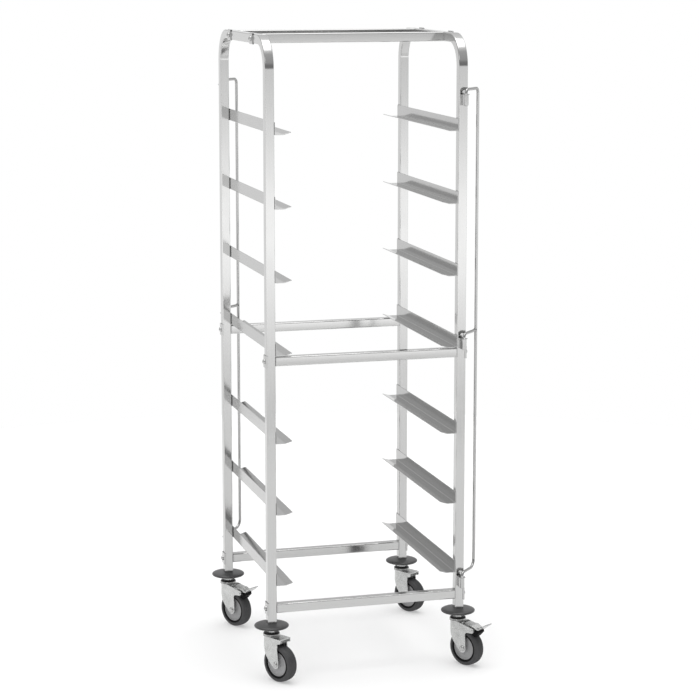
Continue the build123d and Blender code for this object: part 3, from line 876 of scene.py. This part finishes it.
class TROLLEY_OT_forks(bpy.types.Operator):
    """Press the castor forks, with their raceways and axles"""
    bl_idname = "trolley.forks"
    bl_label = "Forks and axles"

    def execute(self, context):
        steps = context.scene.trolley_sizes.round_steps
        for corner in CORNERS:
            node = f"fork_{corner}"
            body = f"castor_{corner}"
            race = RACE_HEIGHT
            crown = place_of(node)[1].z - race
            bm = cad_copy(node)
            bmesh.ops.bisect_plane(bm, geom=bm.verts[:] + bm.edges[:] + bm.faces[:], dist=1e-7,
                                   plane_co=(0, 0, crown + CROWN_CUT), plane_no=UP, clear_outer=True)
            piece = put(bm, f"{node}_pressed", body, "zinc_plate", [node], sharp=0)
            soften(piece, PRESSED_EDGE, 3)
            ring = turned([(radius * MM, crown + race * up) for radius, up in RACE_OUTLINE], steps,
                          closed=True)
            moved(ring, swivel(corner))
            put(ring, f"race_ring_{corner}", body, "bolt_steel")
            half = AXLE_SEAT
            head = turned([(radius, half + up) for radius, up in mm_points(*AXLE_HEAD)] + [
                (AXLE_RADIUS, half), (AXLE_RADIUS, AXLE_CHAMFER - half - AXLE_END),
                (AXLE_RADIUS - 2 * AXLE_CHAMFER, -half - AXLE_END), (0, -half - AXLE_END),
            ], 40)
            washer = turned(mm_points(*AXLE_WASHER), 40, closed=True)
            nut = hex_nut(AXLE_NUT, -half - AXLE_NUT_OUTER, -half - AXLE_NUT_INNER, AXLE_NUT_BORE)
            axle = moved(joined(head, washer, nut), on_axle(corner))
            put(axle, f"axle_{corner}_turned", body, "bolt_steel", [f"axle_{corner}"])
        return {"FINISHED"}


class TROLLEY_OT_wheels(bpy.types.Operator):
    """Mould the wheel centres and tyres"""
    bl_idname = "trolley.wheels"
    bl_label = "Wheels"

    def execute(self, context):
        sizes = context.scene.trolley_sizes
        face = mm_points(*HUB_FACE)
        wall = mm_points(*TYRE_WALL)
        half_tread = TREAD_WIDTH / 2
        pitch = TREAD_WIDTH / max(1, sizes.tread_grooves)
        for corner in CORNERS:
            body = f"wheel_{corner}"
            profile = face + [(radius, -height) for radius, height in reversed(face)]
            hub = moved(turned(profile, WHEEL_STEPS, closed=True), on_axle(corner))
            put(hub, f"wheel_hub_{corner}_moulded", body, "hub_plastic", [f"wheel_hub_{corner}"], sharp=30)
            low, high, _ = place_of(f"tyre_{corner}")
            outer = (high.z - low.z) / 2
            tread = []
            for groove in range(sizes.tread_grooves):
                across = half_tread - pitch * (groove + 0.5)
                crown = outer - TREAD_CROWN * (across / half_tread) ** 2
                tread += [(crown, across + 0.36 * pitch), (crown - GROOVE_DEPTH, across + 0.14 * pitch),
                          (crown - GROOVE_DEPTH, across - 0.14 * pitch), (crown, across - 0.36 * pitch)]
            profile = wall + tread + [(radius, -height) for radius, height in reversed(wall)]
            tyre = moved(turned(profile, WHEEL_STEPS, closed=True), on_axle(corner))
            put(tyre, f"tyre_{corner}_moulded", body, "tyre_rubber", [f"tyre_{corner}"], sharp=30)
            for side, letter in ((1, "a"), (-1, "b")):
                ring = [(radius, side * height) for radius, height in mm_points(*BEAD_RING)]
                ring = moved(turned(ring, WHEEL_STEPS, closed=True), on_axle(corner))
                put(ring, f"tyre_bead_{corner}_{letter}", body, "black_rubber")
        return {"FINISHED"}


class TROLLEY_OT_brakes(bpy.types.Operator):
    """Press the brake pedals and mould their shoes"""
    bl_idname = "trolley.brakes"
    bl_label = "Brakes"

    def execute(self, context):
        sizes = context.scene.trolley_sizes
        for corner, braked in CORNERS.items():
            if not braked:
                continue
            body = f"brake_{corner}"
            node = f"brake_pedal_{corner}"
            pedal = put(cad_copy(node), f"{node}_pressed", body, "zinc_plate", [node], sharp=0)
            soften(pedal, PRESSED_EDGE, 3)
            block = cad_copy(f"brake_shoe_{corner}")
            heel = sizes.shoe_heel
            away = swivel(corner).to_3x3() @ Vector((math.sin(heel), 0, -math.cos(heel)))
            bmesh.ops.bisect_plane(block, geom=block.verts[:] + block.edges[:] + block.faces[:], dist=1e-7,
                                   plane_co=place_of(f"tyre_{corner}")[2], plane_no=away, clear_outer=True)
            bmesh.ops.holes_fill(block, edges=[edge for edge in block.edges if edge.is_boundary], sides=0)
            bmesh.ops.recalc_face_normals(block, faces=block.faces)
            shoe = put(block, f"brake_shoe_{corner}_moulded", body, "black_rubber", [f"brake_shoe_{corner}"],
                       sharp=0)
            soften(shoe, SHOE_EDGE, 3)
        return {"FINISHED"}


# ---- Studio ---------------------------------------------------------------------

def aim(thing, at):
    """Turn a light or camera to look at a point."""
    ahead = Vector(at) - thing.location
    thing.rotation_euler = ahead.to_track_quat("-Z", "Y").to_euler()


def softbox(name, place, at, size, power):
    """A large square area light."""
    lamp = bpy.data.lights.new(name, "AREA")
    lamp.shape = "SQUARE"
    lamp.size = size
    lamp.energy = power
    light = bpy.data.objects.new(name, lamp)
    light.location = place
    aim(light, at)
    bpy.context.scene.collection.objects.link(light)
    return light


# Brightness of the room by the sine of the elevation, in front of the trolley and behind it.
ROOM_IN_FRONT = ((-1.0, 1.0), (-0.24, 1.0), (-0.19, 0.95), (-0.165, 1.4), (-0.12, 1.95), (-0.085, 1.35),
                 (-0.055, 1.0), (-0.01, 1.0), (0.03, 0.25), (0.22, 0.30), (0.34, 0.5), (0.75, 0.6),
                 (0.87, 1.0), (0.94, 3.3), (1.0, 3.6))
ROOM_BEHIND = ((-1.0, 1.0), (-0.01, 1.0), (0.02, 0.95), (0.08, 0.86), (0.2, 0.76), (0.34, 0.7),
               (0.6, 0.9), (0.86, 1.1), (0.94, 3.3), (1.0, 3.6))
ROOM_STRENGTH = 4.0


def room_ramp(tree, rise, stops):
    """The brightness of one side of the room."""
    node = tree.nodes.new("ShaderNodeValToRGB")
    elements = node.color_ramp.elements
    for sine, _ in stops[1:-1]:
        elements.new((sine + 1) / 2)
    for element, (sine, light) in zip(elements, stops):
        level = light / ROOM_STRENGTH
        element.position = (sine + 1) / 2
        element.color = (level, level, level, 1)
    tree.links.new(rise, node.inputs["Fac"])
    return node.outputs["Color"]


def studio_world():
    """A room with a light ceiling, dim walls and a white backdrop."""
    world = bpy.data.worlds.new("studio")
    bpy.context.scene.world = world
    world.use_nodes = True
    tree = world.node_tree
    background = tree.nodes["Background"]
    coords = tree.nodes.new("ShaderNodeTexCoord")
    split = tree.nodes.new("ShaderNodeSeparateXYZ")
    tree.links.new(coords.outputs["Generated"], split.inputs["Vector"])
    rise = ranged(tree, split.outputs["Z"], 0.0, 1.0, -1.0, 1.0)
    room = tree.nodes.new("ShaderNodeMix")
    room.data_type = "RGBA"
    tree.links.new(ranged(tree, split.outputs["Y"], 0.0, 1.0, -0.3, 0.3), room.inputs["Factor"])
    tree.links.new(room_ramp(tree, rise, ROOM_IN_FRONT), room.inputs[6])
    tree.links.new(room_ramp(tree, rise, ROOM_BEHIND), room.inputs[7])
    path = tree.nodes.new("ShaderNodeLightPath")
    seen = tree.nodes.new("ShaderNodeMix")
    seen.data_type = "RGBA"
    tree.links.new(path.outputs["Is Camera Ray"], seen.inputs["Factor"])
    tree.links.new(room.outputs[2], seen.inputs[6])
    white = 1 / ROOM_STRENGTH
    seen.inputs[7].default_value = (white, white, white, 1)
    tree.links.new(seen.outputs[2], background.inputs["Color"])
    background.inputs["Strength"].default_value = ROOM_STRENGTH


class TROLLEY_OT_stage(bpy.types.Operator):
    """Set the pale floor, the soft lights and the camera"""
    bl_idname = "trolley.stage"
    bl_label = "Stage"

    def execute(self, context):
        bm = bmesh.new()
        bmesh.ops.create_circle(bm, cap_ends=True, segments=96, radius=FLOOR_RADIUS)
        mesh = bpy.data.meshes.new("studio_floor")
        bm.to_mesh(mesh)
        bm.free()
        floor = bpy.data.objects.new("studio_floor", mesh)
        context.scene.collection.objects.link(floor)
        material, tree, shader, bump = blank_material("studio_floor")
        tone = context.scene.trolley_finishes.floor[:]
        fine = noise(tree, stretched(tree, (3, 3, 3)), 1.0, 2.0)
        tree.links.new(two_tone(tree, fine, shade(tone, FLOOR_SHADE - 0.01), shade(tone, FLOOR_SHADE)),
                       shader.inputs["Base Color"])
        shader.inputs["Emission Color"].default_value = (*tone, 1)
        shader.inputs["Emission Strength"].default_value = FLOOR_GLOW
        shader.inputs["Roughness"].default_value = 0.9
        shader.inputs["Specular IOR Level"].default_value = 0.1
        bump.inputs["Strength"].default_value = 0.0
        mesh.materials.append(material)
        studio_world()
        softbox("key", KEY_PLACE, KEY_AIM, KEY_SIZE, KEY_POWER)
        lens = bpy.data.cameras.new("camera")
        lens.lens = LENS
        lens.shift_y = CAMERA_SHIFT
        lens.sensor_width = SENSOR
        lens.clip_end = 1000
        camera = bpy.data.objects.new("camera", lens)
        camera.location = CAMERA_PLACE
        camera.rotation_euler = (math.radians(90 - CAMERA_FALL), 0, math.radians(CAMERA_TURN))
        context.scene.collection.objects.link(camera)
        context.scene.camera = camera
        context.scene.view_settings.view_transform = "Standard"
        return {"FINISHED"}


class TROLLEY_PT_build(bpy.types.Panel):
    """The steps that make the trolley"""
    bl_idname = "TROLLEY_PT_build"
    bl_label = "Runner trolley"
    bl_space_type = "VIEW_3D"
    bl_region_type = "UI"
    bl_category = "Trolley"

    def draw(self, context):
        for step in STEPS:
            self.layout.operator(step.bl_idname)
        for group in (context.scene.trolley_sizes, context.scene.trolley_finishes):
            for name in group.__annotations__:
                self.layout.prop(group, name)


STEPS = (
    TROLLEY_OT_side_frames,
    TROLLEY_OT_crossbars,
    TROLLEY_OT_bar_fixings,
    TROLLEY_OT_runners,
    TROLLEY_OT_welds,
    TROLLEY_OT_locking_bars,
    TROLLEY_OT_bumpers,
    TROLLEY_OT_castor_stems,
    TROLLEY_OT_forks,
    TROLLEY_OT_wheels,
    TROLLEY_OT_brakes,
    TROLLEY_OT_stage,
)
CLASSES = (TrolleySizes, TrolleyFinishes, *STEPS, TROLLEY_PT_build)


def register():
    for item in CLASSES:
        bpy.utils.register_class(item)
    bpy.types.Scene.trolley_sizes = PointerProperty(type=TrolleySizes)
    bpy.types.Scene.trolley_finishes = PointerProperty(type=TrolleyFinishes)


def unregister():
    del bpy.types.Scene.trolley_finishes
    del bpy.types.Scene.trolley_sizes
    for item in reversed(CLASSES):
        bpy.utils.unregister_class(item)


def main():
    """Register, and make every piece in order."""
    register()
    for step in STEPS:
        group, name = step.bl_idname.split(".")
        getattr(getattr(bpy.ops, group), name)()


if __name__ == "__main__":
    main()
